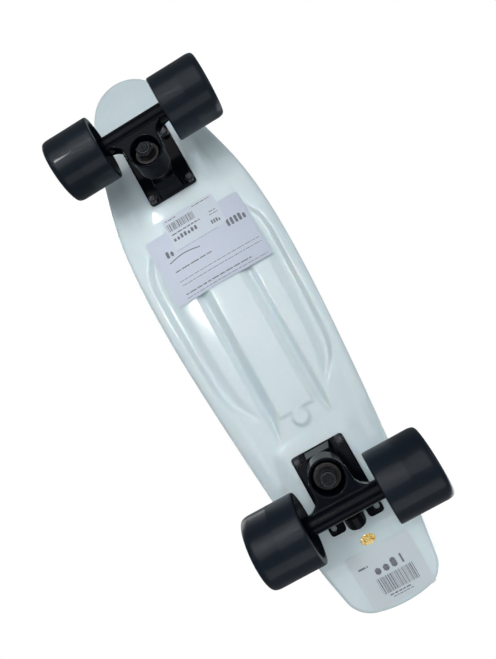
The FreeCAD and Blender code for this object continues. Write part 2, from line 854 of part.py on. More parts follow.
def tyre():
    half = "wheel_width / 2"
    inner = "core_length / 2"
    side = [("core_radius", inner), ("tyre_shoulder_radius", f"{half} - tyre_shoulder_depth"),
            ("tyre_lip_radius", half), ("wheel_radius", half)]
    mirrored = [(r, f"-({y})") for r, y in reversed(side)]
    body = turned(side + mirrored)
    round_body(body, "tyre_edge", lambda edge: is_circle(edge, "wheel_radius"))
    return round_body(body, 1.2, lambda edge: is_circle(edge, "tyre_lip_radius"))


def is_circle(edge, radius):
    """Whether an edge is a full circle of the given radius."""
    curve = edge.Curve
    return isinstance(curve, Part.Circle) and abs(curve.Radius - value(radius)) < 0.01


def wheel(name, side, place):
    bearings = bearing_starts()
    node(f"{name}_tyre", on_axle(tyre(), side, wheel_middle()), place)
    node(f"{name}_core", on_axle(core(), side, wheel_middle()), place)
    for part, make in (("outer_races", outer_race), ("shields", shields),
                       ("cages", cage), ("balls", balls)):
        pieces = [on_axle(make(), side, at) for at in bearings]
        node(f"{name}_{part}", group(*pieces), place)


# ---------------------------------------------------------------- the assembly

def truck(name, end):
    place = truck_frame(end)
    node(f"{name}_baseplate", baseplate(), place)
    node(f"{name}_pivot_cup", pivot_cup(), place)
    node(f"{name}_kingpin", kingpin(), place)
    kingpin_stack(name, place)
    node(f"{name}_hanger", hanger(), place)
    node(f"{name}_axle", axle(), place)
    axle_hardware(name, place)
    for hand, side in (("left", 1), ("right", -1)):
        wheel(f"{name}_{hand}", side * end, place)


def check_and_export():
    doc.recompute()
    for item in doc.Objects:
        if "Invalid" in item.State or "Error" in item.State:
            raise RuntimeError(f"{item.Name} ({item.Label}) failed: {item.State}")
    os.makedirs("parts", exist_ok=True)
    for item in nodes:
        shape = item.Shape
        if shape.isNull() or not shape.isValid() or not shape.Solids:
            raise RuntimeError(f"{item.Label} has no valid solid")
        shape.exportStep(f"parts/{item.Label}.step")
        box = shape.BoundBox
        print(f"{item.Label}: {len(shape.Solids)} solid(s), {shape.Volume:.0f} mm3, "
              f"x {box.XMin:.1f}..{box.XMax:.1f}, y {box.YMin:.1f}..{box.YMax:.1f}, "
              f"z {box.ZMin:.1f}..{box.ZMax:.1f}")


deck()
labels()
deck_fasteners()
truck("front", 1)
truck("rear", -1)
check_and_export()
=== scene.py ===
"""The looks of a 22-inch moulded cruiser skateboard, seen from below and a little behind.

Metres, in the CAD frame: +X to the nose, +Y to the rider's left, +Z up, the floor at zero.
"""

import json
import math
import random

import bmesh
import bpy
import numpy as np
from mathutils import Matrix, Vector
from mathutils.geometry import delaunay_2d_cdt


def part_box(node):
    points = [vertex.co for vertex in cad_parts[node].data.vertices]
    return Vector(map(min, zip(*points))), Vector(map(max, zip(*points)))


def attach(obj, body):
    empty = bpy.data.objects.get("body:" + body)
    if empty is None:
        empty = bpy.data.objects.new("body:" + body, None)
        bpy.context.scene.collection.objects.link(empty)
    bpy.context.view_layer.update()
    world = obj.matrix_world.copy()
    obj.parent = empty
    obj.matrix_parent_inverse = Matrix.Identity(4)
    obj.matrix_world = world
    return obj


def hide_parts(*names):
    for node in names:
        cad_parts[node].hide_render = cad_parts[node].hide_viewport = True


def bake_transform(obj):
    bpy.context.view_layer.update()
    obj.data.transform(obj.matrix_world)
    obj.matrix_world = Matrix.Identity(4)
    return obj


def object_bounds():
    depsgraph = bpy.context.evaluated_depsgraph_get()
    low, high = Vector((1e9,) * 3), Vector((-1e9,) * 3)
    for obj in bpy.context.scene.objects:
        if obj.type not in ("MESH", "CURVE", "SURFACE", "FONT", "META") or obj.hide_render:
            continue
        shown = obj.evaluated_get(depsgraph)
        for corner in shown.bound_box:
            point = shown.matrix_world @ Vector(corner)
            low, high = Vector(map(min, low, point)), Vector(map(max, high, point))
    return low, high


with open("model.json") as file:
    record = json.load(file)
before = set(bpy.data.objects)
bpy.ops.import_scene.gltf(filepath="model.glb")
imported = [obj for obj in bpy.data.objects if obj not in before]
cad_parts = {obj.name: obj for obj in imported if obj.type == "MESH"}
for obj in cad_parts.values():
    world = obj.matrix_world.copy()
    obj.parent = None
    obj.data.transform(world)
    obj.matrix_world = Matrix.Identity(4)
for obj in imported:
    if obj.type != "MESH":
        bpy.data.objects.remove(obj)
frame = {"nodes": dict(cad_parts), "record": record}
cad_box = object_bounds()
random.seed(22)

MM = 0.001
TAIL, NOSE = cad_box[0].x, cad_box[1].x
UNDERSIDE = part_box("front_baseplate")[1].z
THICKNESS = 10 * MM
ENDS = {"front": 1, "rear": -1}
HANDS = {"left": 1, "right": -1}


# ---------------------------------------------------------------- materials

class Finish:
    """A Principled material and short ways to add procedural detail to it.

    Sizes are in metres. The pattern space is the object's own, which is the CAD frame.
    """

    def __init__(self, name, **sockets):
        self.material = bpy.data.materials.new(name)
        self.material.use_nodes = True
        self.tree = self.material.node_tree
        self.shader = self.tree.nodes["Principled BSDF"]
        for socket, value in sockets.items():
            self.shader.inputs[socket.replace("_", " ")].default_value = value
        self.place = self.add("ShaderNodeTexCoord").outputs["Object"]

    def add(self, kind, **settings):
        """A node with settings: upper-case names are its sockets, the others its properties."""
        made = self.tree.nodes.new(kind)
        for name, value in settings.items():
            if name[0].isupper():
                self.feed(value, made.inputs[name.replace("_", " ")])
            else:
                setattr(made, name, value)
        return made

    def feed(self, value, socket):
        if isinstance(value, bpy.types.NodeSocket):
            self.tree.links.new(value, socket)
        else:
            socket.default_value = value

    def cloud(self, size, detail=4.0, roughness=0.55, stretch=(1, 1, 1)):
        """Noise from about 0 to 1 whose patches are size across."""
        spread = self.add("ShaderNodeMapping", Vector=self.place, Scale=stretch)
        noise = self.add("ShaderNodeTexNoise", Vector=spread.outputs[0], Scale=1 / size,
                         Detail=detail, Roughness=roughness)
        return noise.outputs["Fac"]

    def between(self, value, low, high, start=0.3, end=0.7):
        """value mapped smoothly from the range start..end to low..high."""
        made = self.add("ShaderNodeMapRange", Value=value, interpolation_type="SMOOTHSTEP")
        made.inputs["From Min"].default_value = start
        made.inputs["From Max"].default_value = end
        made.inputs["To Min"].default_value = low
        made.inputs["To Max"].default_value = high
        return made.outputs["Result"]

    def math(self, operation, first, second=0.0):
        made = self.add("ShaderNodeMath", operation=operation)
        self.feed(first, made.inputs[0])
        self.feed(second, made.inputs[1])
        return made.outputs[0]

    def colour(self, share, first, second):
        """Colour the surface from first to second by share."""
        mix = self.add("ShaderNodeMix", data_type="RGBA")
        self.feed(share, mix.inputs["Factor"])
        self.feed(first if hasattr(first, "node") else (*first, 1), mix.inputs[6])
        self.feed((*second, 1), mix.inputs[7])
        self.feed(mix.outputs[2], self.shader.inputs["Base Color"])
        return mix.outputs[2]

    def rough(self, value):
        self.feed(value, self.shader.inputs["Roughness"])

    def bump(self, height, depth, below=None):
        """Raise the surface by height (0 to 1) times depth, over the bump given as below."""
        made = self.add("ShaderNodeBump", Height=height, Distance=depth)
        if below is not None:
            self.feed(below, made.inputs["Normal"])
        self.feed(made.outputs[0], self.shader.inputs["Normal"])
        return made.outputs[0]

    def softened(self, radius):
        """Round the look of sharp edges; the start of a chain of bumps."""
        return self.add("ShaderNodeBevel", Radius=radius, samples=4).outputs[0]

    def scratches(self, spacing, length, width):
        """Hairline scratches as a mask of 0 and 1."""
        turned = self.add("ShaderNodeMapping", Vector=self.place, Rotation=(0, 0, 0.5),
                          Scale=(1, spacing / length, 1))
        cells = self.add("ShaderNodeTexVoronoi", Vector=turned.outputs[0], Scale=1 / spacing,
                         feature="DISTANCE_TO_EDGE")
        line = self.between(cells.outputs["Distance"], 1, 0, 0, width / spacing)
        return self.math("MULTIPLY", line, self.between(self.cloud(spacing * 3), 0, 1, 0.52, 0.6))


def deck_plastic():
    """White polypropylene with a cool cast, a faint moulding ripple and hairlines.

    It is glossy, but for its textured top.
    """
    look = Finish("deck_plastic", Coat_Weight=0.25, Coat_Roughness=0.08, IOR=1.49,
                  Subsurface_Weight=0.12, Subsurface_Scale=0.004)
    look.colour(look.between(look.cloud(0.06, 3), 0, 1), (0.72, 0.842, 0.878),
                (0.685, 0.815, 0.855))
    facing = look.add("ShaderNodeSeparateXYZ")
    look.feed(look.add("ShaderNodeNewGeometry").outputs["Normal"], facing.inputs[0])
    upward = look.between(facing.outputs["Z"], 0, 0.28, 0.3, 0.8)
    look.rough(look.math("ADD", look.between(look.cloud(0.012), 0.1, 0.16), upward))
    ripple = look.bump(look.cloud(0.02, 2), 0.00003)
    marks = look.bump(look.scratches(0.03, 0.12, 0.00012), -0.00002, ripple)
    look.bump(look.cloud(0.0009, 2), 0.000004, marks)
    return look.material


def paper(name, base, tint):
    """Coated label paper: fine fibres, a faint mottle and a soft cockle."""
    look = Finish(name, Coat_Weight=0.2, Coat_Roughness=0.3, IOR=1.45)
    fibres = look.cloud(0.0006, 5, 0.7, (1, 0.4, 1))
    look.colour(look.between(fibres, 0, 1), base, tint)
    look.rough(look.between(look.cloud(0.004), 0.38, 0.5))
    cockle = look.bump(look.cloud(0.022, 1), 0.00035)
    look.bump(fibres, 0.00001, cockle)
    return look.material


def ink():
    """Thermal print: a flat grey-black that is thinner in places."""
    look = Finish("label_ink", IOR=1.45)
    look.colour(look.between(look.cloud(0.0012), 0, 1), (0.10, 0.11, 0.14), (0.24, 0.25, 0.30))
    look.rough(look.between(look.cloud(0.002), 0.4, 0.6))
    look.bump(look.cloud(0.0004), 0.00001)
    return look.material


def foil():
    """Crinkled gold foil with worn, paler facets."""
    look = Finish("seal_foil", Metallic=1.0)
    cells = look.add("ShaderNodeTexVoronoi", Vector=look.place, Scale=700)
    look.colour(look.between(look.cloud(0.0022, 5), 0, 1, 0.4, 0.6), (0.72, 0.42, 0.08),
                (0.93, 0.74, 0.33))
    look.rough(look.between(look.cloud(0.0015), 0.22, 0.5))
    look.bump(cells.outputs["Distance"], 0.0003)
    return look.material


def painted(name, base, fleck):
    """Glossy enamel over a cast surface, with orange peel and specks of dust."""
    look = Finish(name, Coat_Weight=0.05, Coat_Roughness=0.06, IOR=1.13)
    specks = look.between(look.cloud(0.0007, 2), 0, 1, 0.7, 0.76)
    drift = look.colour(look.between(look.cloud(0.018), 0, 1), base,
                        tuple(1.6 * c for c in base))
    look.colour(look.math("MULTIPLY", specks, 0.15), drift, fleck)
    look.rough(look.between(look.cloud(0.006), 0.12, 0.24))
    peel = look.bump(look.cloud(0.0016, 2), 0.00002, look.softened(0.0004))
    look.bump(look.cloud(0.012, 2), 0.0001, peel)
    return look.material


def urethane(name, base, roughness, mark=0.0):
    """Cast urethane with faint scuffs; mark is the depth of lines turned round the tread."""
    look = Finish(name, Coat_Weight=0.12, Coat_Roughness=0.07, IOR=1.27)
    scuff = look.between(look.cloud(0.008, 6, 0.7), 0, 1, 0.55, 0.8)
    look.colour(look.math("MULTIPLY", scuff, 0.4), base, tuple(1.6 * c + 0.002 for c in base))
    look.rough(look.between(look.cloud(0.005, 5), *roughness))
    soft = look.bump(look.cloud(0.0025, 3), 0.00003)
    lines = look.add("ShaderNodeTexWave", Vector=look.place, Scale=1 / 0.0023,
                     bands_direction="Y", Distortion=0.4, Detail=1.0)
    look.bump(lines.outputs["Fac"], mark, soft)
    return look.material


def steel(name, base, roughness, metallic=1.0, thread=None):
    """Machined or blacked steel; thread is an axis and the pitch of the rings cut along it."""
    look = Finish(name, Metallic=metallic, IOR=1.5)
    tarnish = look.between(look.cloud(0.003, 5), 0, 1)
    look.colour(tarnish, base, tuple(0.55 * c for c in base))
    look.rough(look.between(look.cloud(0.0015, 4), *roughness))
    chain = look.bump(look.cloud(0.0005, 3), 0.000008, look.softened(0.00025))
    if thread:
        axis, pitch = thread
        rings = look.add("ShaderNodeTexWave", Vector=look.place, Scale=math.pi / 10 / pitch,
                         bands_direction=axis)
        look.bump(rings.outputs["Fac"], 0.4 * pitch, chain)
    return look.material


def nylon(name, base, roughness):
    """Glass-filled nylon: a matt grain with pale fibre streaks."""
    look = Finish(name, IOR=1.53)
    fibres = look.between(look.cloud(0.0009, 4, 0.7, (1, 0.35, 1)), 0, 1, 0.55, 0.75)
    look.colour(fibres, base, tuple(1.5 * c + 0.01 for c in base))
    look.rough(look.between(look.cloud(0.003), *roughness))
    look.bump(look.cloud(0.0006, 3), 0.00003, look.softened(0.0003))
    return look.material


def make_finishes():
    """The material of each of the record's slots, and of the visual's own pieces."""
    return {
        "deck_plastic": deck_plastic(),
        "label_paper": paper("label_paper", (0.585, 0.65, 0.765), (0.55, 0.615, 0.73)),
        "film": paper("label_film", (0.615, 0.695, 0.775), (0.58, 0.66, 0.74)),
        "tail_film": paper("tail_film", (0.66, 0.745, 0.785), (0.625, 0.71, 0.75)),
        "ink": ink(),
        "seal_foil": foil(),
        "black_steel": steel("black_steel", (0.045, 0.047, 0.055), (0.22, 0.4), 0.85),
        "threaded_steel": steel("threaded_steel", (0.10, 0.10, 0.11), (0.25, 0.4), 1.0,
                                thread=("Y", 0.0011)),
        "washer_steel": steel("washer_steel", (0.085, 0.08, 0.08), (0.3, 0.45), 0.9),
        "bolt_steel": steel("bolt_steel", (0.06, 0.06, 0.07), (0.25, 0.42), 0.9,
                            thread=("Z", 0.0008)),
        "truck_paint": painted("truck_paint", (0.0014, 0.0024, 0.005), (0.10, 0.13, 0.18)),
        "cup_urethane": urethane("cup_urethane", (0.02, 0.02, 0.022), (0.4, 0.55)),
        "bushing_urethane": urethane("bushing_urethane", (0.012, 0.013, 0.018), (0.28, 0.42)),
        "wheel_urethane": urethane("wheel_urethane", (0.0034, 0.0082, 0.0155), (0.36, 0.42),
                                   0.000012),
        "core_nylon": nylon("core_nylon", (0.018, 0.019, 0.022), (0.42, 0.58)),
        "insert_nylon": nylon("insert_nylon", (0.05, 0.055, 0.07), (0.35, 0.5)),
        "bearing_steel": steel("bearing_steel", (0.62, 0.62, 0.64), (0.16, 0.3)),
        "shield_steel": steel("shield_steel", (0.09, 0.09, 0.1), (0.25, 0.4)),
        "cage_nylon": nylon("cage_nylon", (0.62, 0.58, 0.46), (0.4, 0.55)),
    }


finishes = make_finishes()


# ---------------------------------------------------------------- mesh helpers

def piece(name, verts, faces, finish, body, slot=None, smooth=True, weld=1e-6):
    """A mesh object that rides on a body, its faces turned outwards."""
    mesh = bpy.data.meshes.new(name)
    mesh.from_pydata([tuple(v) for v in verts], [], faces)
    made = bmesh.new()
    made.from_mesh(mesh)
    bmesh.ops.remove_doubles(made, verts=made.verts, dist=weld)
    bmesh.ops.recalc_face_normals(made, faces=made.faces)
    for face in made.faces:
        face.smooth = smooth
    made.to_mesh(mesh)
    made.free()
    return shown(name, mesh, finish, body)


def shown(name, mesh, finish, body):
    """Put a finished mesh in the scene; body None leaves it attached to no body."""
    made = bpy.data.objects.new(name, mesh)
    bpy.context.scene.collection.objects.link(made)
    mesh.materials.clear()
    mesh.materials.append(finishes[finish])
    if body:
        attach(made, body)
    return made


def filleted(corners, steps=5):
    """A closed outline from (a, b, radius) corners, each rounded by its radius."""
    points = []
    count = len(corners)
    for k, (a, b, radius) in enumerate(corners):
        here = Vector((a, b))
        before = (Vector(corners[k - 1][:2]) - here).normalized() * radius
        after = (Vector(corners[(k + 1) % count][:2]) - here).normalized() * radius
        if radius == 0:
            points.append(here)
            continue
        for step in range(steps + 1):
            t = step / steps
            points.append(here + before * (1 - t) ** 2 + after * t ** 2)
    return points


def lathe(outline, place, segments=96):
    """Vertices and faces of a closed outline of (radius, along), turned about place's Z."""
    count = len(outline)
    verts = [place @ Vector((r * math.cos(turn), r * math.sin(turn), z))
             for turn in np.linspace(0, 2 * math.pi, segments, endpoint=False)
             for r, z in outline]
    faces = [(s * count + k, s * count + (k + 1) % count,
              (s + 1) % segments * count + (k + 1) % count, (s + 1) % segments * count + k)
             for s in range(segments) for k in range(count)]
    return verts, faces


def join(*parts):
    """Several (verts, faces) as one."""
    verts, faces = [], []
    for part_verts, part_faces in parts:
        start = len(verts)
        verts += list(part_verts)
        faces += [tuple(start + k for k in face) for face in part_faces]
    return verts, faces


def pointing(at, axis):
    """A place at a point whose Z runs along axis."""
    return Matrix.Translation(at) @ Vector(axis).to_track_quat("Z", "Y").to_matrix().to_4x4()


def middle(node):
    low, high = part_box(node)
    return (low + high) / 2


def cast_skin(name, node, voxel, passes, body):
    """A CAD casting with its sharp corners worked into soft fillets, as from a mould."""
    mesh = frame["nodes"][node].data.copy()
    made = shown(name, mesh, "truck_paint", None)
    grid = made.modifiers.new("grid", "REMESH")
    grid.mode = "VOXEL"
    grid.voxel_size = voxel
    relax = made.modifiers.new("relax", "SMOOTH")
    relax.factor = 0.5
    relax.iterations = passes
    graph = bpy.context.evaluated_depsgraph_get()
    skin = bpy.data.meshes.new_from_object(made.evaluated_get(graph))
    made.modifiers.clear()
    made.data = skin
    skin.materials.clear()
    skin.materials.append(finishes["truck_paint"])
    for face in skin.polygons:
        face.use_smooth = True
    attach(made, body)
    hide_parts(node)


# ---------------------------------------------------------------- the deck's surfaces

CONCAVE_HALF = 75 * MM
CONCAVE_RISE = 4.5 * MM
CONCAVE_RADIUS = (CONCAVE_HALF ** 2 + CONCAVE_RISE ** 2) / (2 * CONCAVE_RISE)
KICK = {"start": -212.7 * MM, "radius": 60 * MM, "angle": math.radians(24), "side": -1}
LIFT = {"start": 225 * MM, "radius": 150 * MM, "angle": math.radians(4), "side": 1}
RIM_ROUND = 3.5 * MM
PAD_FADE = 16 * MM
TAIL_DROP = 0.75 * MM
TAIL_ROLL = 10 * MM

# The relief of the underside, in millimetres. Lines are half-widths, as (x, y), about RELIEF_MIDDLE;
# a line's wall reaches as far as its SOFT to either side of it.
RELIEF_MIDDLE = 0.5
SUNK_LINE = [(-185, 42), (-135, 47.5), (-66, 52.5), (-50, 57), (4, 60.3), (68, 62.5),
             (84, 60.5), (100, 53), (150, 48), (190, 42)]
BAND_LINE = [(-95, 28), (-80, 40), (-66, 50.5), (-52, 56.5), (4, 60.3), (68, 62.5),
             (84, 60.5), (98, 52), (112, 38), (122, 28)]
PANEL_LINE = [(-95, 27), (-84, 34), (-73, 39.5), (-60, 43.5), (-34, 47), (7, 49),
              (47, 51), (68, 51), (88, 46), (106, 34), (116, 27)]
SUNK_DEPTH, SUNK_SOFT = 0.9, 2.8
BAND_DEPTH, BAND_SOFT = 2.4, 3.6
PANEL_RISE, PANEL_SOFT = 1.25, 5.0
SUNK_ENDS = ((-200, -165), (170, 205))
LENS_ENDS = ((-104, -66), (92, 120))
GROOVE_INNER = [(-114, 26), (-91, 18), (-80, 17.4), (100, 17.4), (118, 24)]
GROOVE_OUTER = [(-114, 28), (-84, 30.6), (100, 30.6), (118, 28)]
GROOVE_DEPTH = 4.5
GROOVE_ENDS = ((-116, -86), (100, 122))
SPINE_HALF = 17.6
SPINE_ENDS = (-92.5, 112)
FIELD_START, FIELD_FULL = 22, 30
BOSS_PLACE = (-101, 1.5)
BOSS_RADIUS = 8.3
BOSS_RISE = 1.1
WALL_STRAIGHT = 0.35


def smooth_step(value, start, end):
    t = np.clip((value - start) / (end - start), 0, 1)
    return t * t * (3 - 2 * t)


def between_ends(x, ends):
    """1 between two ends and 0 beyond them, each end a slope given as (start, end)."""
    rear, front = ends
    return smooth_step(x, *rear) * (1 - smooth_step(x, *front))


def along(x, stations, blur=13):
    """A line through (x, y) stations, its corners rounded over blur, at each x."""
    xs = np.arange(-320, 321)
    ys = np.interp(xs, *zip(*stations))
    window = np.hanning(blur + 2)[1:-1]
    padded = np.pad(ys, blur // 2, mode="edge")
    return np.interp(x, xs, np.convolve(padded, window / window.sum(), "valid"))


def wall(value, start, end):
    """0 to 1 like smooth_step, but over a straighter wall."""
    t = np.clip((value - start) / (end - start), 0, 1)
    return WALL_STRAIGHT * t + (1 - WALL_STRAIGHT) * t * t * (3 - 2 * t)


def inside(side, line, soft):
    """1 within a line's half-width and 0 outside it, over a wall twice soft wide."""
    return 1 - wall(side, line - soft, line + soft)


def relief(x, y):
    """How far, in metres, the underside is sunk into the deck at x, y.

    A sunk field holds a lens-shaped band with raised panels within it. Between the panels run two
    grooves, on either side of a plain spine with a round boss at its rear end.
    """
    x, y = x / MM, y / MM
    side = np.abs(y - RELIEF_MIDDLE)
    sunk = SUNK_DEPTH * inside(side, along(x, SUNK_LINE), SUNK_SOFT) * between_ends(x, SUNK_ENDS)
    over_lens = between_ends(x, LENS_ENDS)
    band = BAND_DEPTH * inside(side, along(x, BAND_LINE), BAND_SOFT) * over_lens
    panel = -PANEL_RISE * inside(side, along(x, PANEL_LINE), PANEL_SOFT) * over_lens
    off_spine = smooth_step(side, SPINE_HALF - 2, SPINE_HALF + 0.8)
    off_spine = np.maximum(off_spine, 1 - smooth_step(x, SPINE_ENDS[0] - 3, SPINE_ENDS[0]))
    off_spine = np.maximum(off_spine, smooth_step(x, SPINE_ENDS[1], SPINE_ENDS[1] + 1.6))
    level = sunk + (band + panel) * smooth_step(side, FIELD_START, FIELD_FULL)
    inner, outer = along(x, GROOVE_INNER), along(x, GROOVE_OUTER)
    across = np.clip((side - inner) / np.maximum(outer - inner, 0.5), 0, 1)
    valley = smooth_step(across, -0.05, 0.6) * (1 - wall(across, 0.56, 1.02))
    groove = GROOVE_DEPTH * valley * between_ends(x, GROOVE_ENDS)
    reach = np.hypot(x - BOSS_PLACE[0], y - BOSS_PLACE[1])
    boss = BOSS_RISE * (1 - smooth_step(reach, BOSS_RADIUS - 2.6, BOSS_RADIUS + 1.4))
    return (level * off_spine + groove - boss) * MM


def rocker(x, up, start, radius, angle, side):
    """How much a bend beyond start lifts a line that runs up above the underside."""
    run = side * (x - start)
    bend = radius - up
    end = bend * math.sin(angle)
    curved = bend - np.sqrt(bend ** 2 - np.clip(run, 0, end) ** 2)
    return curved + np.maximum(run - end, 0) * math.tan(angle)


def height(x, y, up=0.0):
    """The deck's surface at x, y: up is the depth above the plain underside."""
    above = CONCAVE_RADIUS - np.sqrt(CONCAVE_RADIUS ** 2 - y ** 2) + up
    return UNDERSIDE + above + rocker(x, above, **KICK) + rocker(x, above, **LIFT)


def on_pad(x, y):
    """1 on the flats that the baseplates bed on, fading to 0 round them."""
    share = np.zeros_like(x)
    for end in ENDS:
        low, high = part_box(f"{end}_baseplate")
        spot = smooth_step(x, low.x - PAD_FADE, low.x)
        spot *= 1 - smooth_step(x, high.x, high.x + PAD_FADE)
        share = np.maximum(share, spot * (1 - smooth_step(np.abs(y), high.y, high.y + PAD_FADE)))
    return share


def underside(x, y):
    flat = on_pad(x, y)
    return height(x, y, relief(x, y) * (1 - flat)) * (1 - flat) + UNDERSIDE * flat


LABEL_SAG = 0.25 * MM
LABEL_CURL = 1.3 * MM
CURL_REACH = 14 * MM
CURL_WAVE = 11 * MM


def label_bed(x, y):
    """The underside as a stiff label lies on it.

    The front labels span the grooves, and the care label's rear edge curls away in waves.
    """
    sag = LABEL_SAG * inside(np.abs(y) / MM, 58, 12) * smooth_step(x / MM, 0, 30)
    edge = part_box("care_label")[0].x
    curl = LABEL_CURL * smooth_step(x, edge + CURL_REACH, edge) * smooth_step(x, 0, edge)
    return height(x, y, sag) - curl * (0.6 + 0.4 * np.cos(y / CURL_WAVE))


def top(x, y):
    """The upper surface; its last few millimetres at the tail roll over into the rim."""
    start = TAIL + MM
    return height(x, y, THICKNESS) - TAIL_DROP * (1 - smooth_step(x, start, start + TAIL_ROLL))


# ---------------------------------------------------------------- the deck

# Half-widths of the deck along its sides, (x, y) in millimetres.
SIDE_STATIONS = [(-150, 58.7), (-60, 67.7), (50, 74.7), (147, 69.2), (200, 57)]
TAIL_ARC = (105 * MM, math.radians(14.3))
CORNER_ARC = (25.6 * MM, math.radians(8.1))
NOSE_ARC = (38.6 * MM, math.radians(52))
GRIP_SINK = 0.7 * MM
SCREW_SINK = 5.0 * MM
SCREW_HOLE = 2.75 * MM
HOLE_POINTS = 24
BOLT_INBOARD = 4.4 * MM
BOLT_SPACING = (54 * MM, 41.3 * MM)
UNDERSIDE_GRID = 1.5 * MM
TOP_GRID = 2.6 * MM


def heading(angle):
    return np.array([math.cos(angle), math.sin(angle)])


def circle(count):
    """Points evenly round the unit circle."""
    return np.array([heading(a) for a in np.linspace(0, 2 * math.pi, count, endpoint=False)])


def arc(centre, radius, start, end, count=60):
    return [centre + radius * heading(a) for a in np.linspace(start, end, count)]


def spline(points, start, end, count=60):
    """A smooth curve through points that leaves along start and arrives along end."""
    points = np.array(points)
    knots = np.concatenate([[0], np.cumsum(np.linalg.norm(np.diff(points, axis=0), axis=1))])
    size = len(points)
    system, right = np.eye(size), np.zeros((size, 2))
    right[0], right[-1] = start, end
    for k in range(1, size - 1):
        before, after = knots[k] - knots[k - 1], knots[k + 1] - knots[k]
        system[k, k - 1:k + 2] = after, 2 * (before + after), before
        right[k] = 3 * (after / before * (points[k] - points[k - 1])
                        + before / after * (points[k + 1] - points[k]))
    slopes = np.linalg.solve(system, right)
    curve = []
    for k in range(size - 1):
        span = knots[k + 1] - knots[k]
        for t in np.linspace(0, 1, count, endpoint=False):
            curve.append((2 * t ** 3 - 3 * t ** 2 + 1) * points[k]
                         + (t ** 3 - 2 * t ** 2 + t) * span * slopes[k]
                         + (3 * t ** 2 - 2 * t ** 3) * points[k + 1]
                         + (t ** 3 - t ** 2) * span * slopes[k + 1])
    return curve


def outline(spacing=3 * MM):
    """The deck's edge seen from above, evenly spaced and running anticlockwise."""
    tail_radius, tail_half = TAIL_ARC
    corner_radius, side_angle = CORNER_ARC
    nose_radius, nose_half = NOSE_ARC
    tail_centre = np.array([TAIL + tail_radius, 0])
    nose_centre = np.array([NOSE - nose_radius, 0])
    turn = math.pi - tail_half
    corner_centre = tail_centre + (tail_radius - corner_radius) * heading(turn)
    side_start = corner_centre + corner_radius * heading(math.pi / 2 + side_angle)
    side_end = nose_centre + nose_radius * heading(nose_half)
    stations = [side_start, *(np.array(s) * MM for s in SIDE_STATIONS), side_end]
    half = (arc(nose_centre, nose_radius, 0, nose_half)
            + spline(stations, heading(side_angle), heading(nose_half - math.pi / 2))[::-1]
            + arc(corner_centre, corner_radius, math.pi / 2 + side_angle, turn)
            + arc(tail_centre, tail_radius, turn, math.pi))
    half = np.array(half)
    loop = np.concatenate([half, half[::-1] * (1, -1)])
    steps = np.linalg.norm(np.diff(loop, axis=0), axis=1)
    keep = np.concatenate([[True], steps > 1e-7])
    loop = loop[keep]
    travel = np.concatenate([[0], np.cumsum(np.linalg.norm(np.diff(loop, axis=0), axis=1))])
    marks = np.linspace(0, travel[-1], round(travel[-1] / spacing), endpoint=False)
    return np.stack([np.interp(marks, travel, loop[:, axis]) for axis in (0, 1)], 1)


EDGE = outline()


def inset(distance):
    """The deck's edge moved inwards."""
    tangent = np.roll(EDGE, -1, 0) - np.roll(EDGE, 1, 0)
    tangent /= np.linalg.norm(tangent, axis=1)[:, None]
    return EDGE + distance * np.stack([-tangent[:, 1], tangent[:, 0]], 1)


def margin(points):
    """How far each point is from the deck's edge."""
    return np.array([np.hypot(*(EDGE - point).T).min() for point in points])


def filled(loop, holes, spacing):
    """Points and triangles that fill a loop, but for round holes given as (x, y, radius)."""
    rings = [loop] + [np.array([x, y]) + r * circle(HOLE_POINTS) for x, y, r in holes]
    across = np.arange(-CONCAVE_HALF, CONCAVE_HALF, spacing * math.sqrt(3) / 2)
    inner = np.array([(x + row % 2 * spacing / 2, y) for row, y in enumerate(across)
                      for x in np.arange(TAIL, NOSE, spacing)])
    inner = inner[np.abs(inner[:, 1]) < np.interp(inner[:, 0], *half_width())]
    inner = inner[margin(inner) > RIM_ROUND + 0.7 * spacing]
    for x, y, r in holes:
        inner = inner[np.hypot(inner[:, 0] - x, inner[:, 1] - y) > r + 0.6 * spacing]
    points, edges = [], []
    for ring in rings:
        start, count = len(points), len(ring)
        points += [Vector(p) for p in ring]
        edges += [(start + k, start + (k + 1) % count) for k in range(count)]
    points += [Vector(p) for p in inner]
    verts, _, faces, *_ = delaunay_2d_cdt(points, edges, [], 1, 1e-7)
    verts = np.array([tuple(v) for v in verts])
    kept = [f for f in faces if all(np.hypot(*(verts[list(f)].mean(0) - (x, y))) > r * 0.999
                                    for x, y, r in holes)]
    return verts, kept


def half_width():
    """The deck's half-width at each x of its edge."""
    left = EDGE[EDGE[:, 1] >= 0]
    order = np.argsort(left[:, 0])
    return left[order, 0], left[order, 1]


def screw_places():
    """(x, y) of the eight deck screws, measured from the baseplates' inboard edges."""
    spots = []
    for end, sign in ENDS.items():
        low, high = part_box(f"{end}_baseplate")
        inboard = (low.x if sign > 0 else high.x) + sign * BOLT_INBOARD
        for x in (inboard, inboard + sign * BOLT_SPACING[0]):
            spots += [(x, hand * BOLT_SPACING[1] / 2) for hand in HANDS.values()]
    return spots


def lifted(points, surface):
    points = np.asarray(points)
    return np.column_stack([points, surface(points[:, 0], points[:, 1])])


def rim_rings():
    """Rings of points round the deck's rounded rim, from the underside to the top."""
    lower = []
    upper = []
    for turn in np.linspace(math.pi / 2, 0, 7):
        ring = inset(RIM_ROUND * (1 - math.cos(turn)))
        drop = RIM_ROUND * (1 - math.sin(turn))
        lower.append(lifted(ring, underside) + (0, 0, drop))
        upper.append(lifted(ring, top) - (0, 0, drop))
    return lower + upper[::-1]


def strip(rings):
    """Quads between rings of equal count."""
    count = len(rings[0])
    faces = [(r * count + k, r * count + (k + 1) % count,
              (r + 1) * count + (k + 1) % count, (r + 1) * count + k)
             for r in range(len(rings) - 1) for k in range(count)]
    return np.concatenate(rings), faces


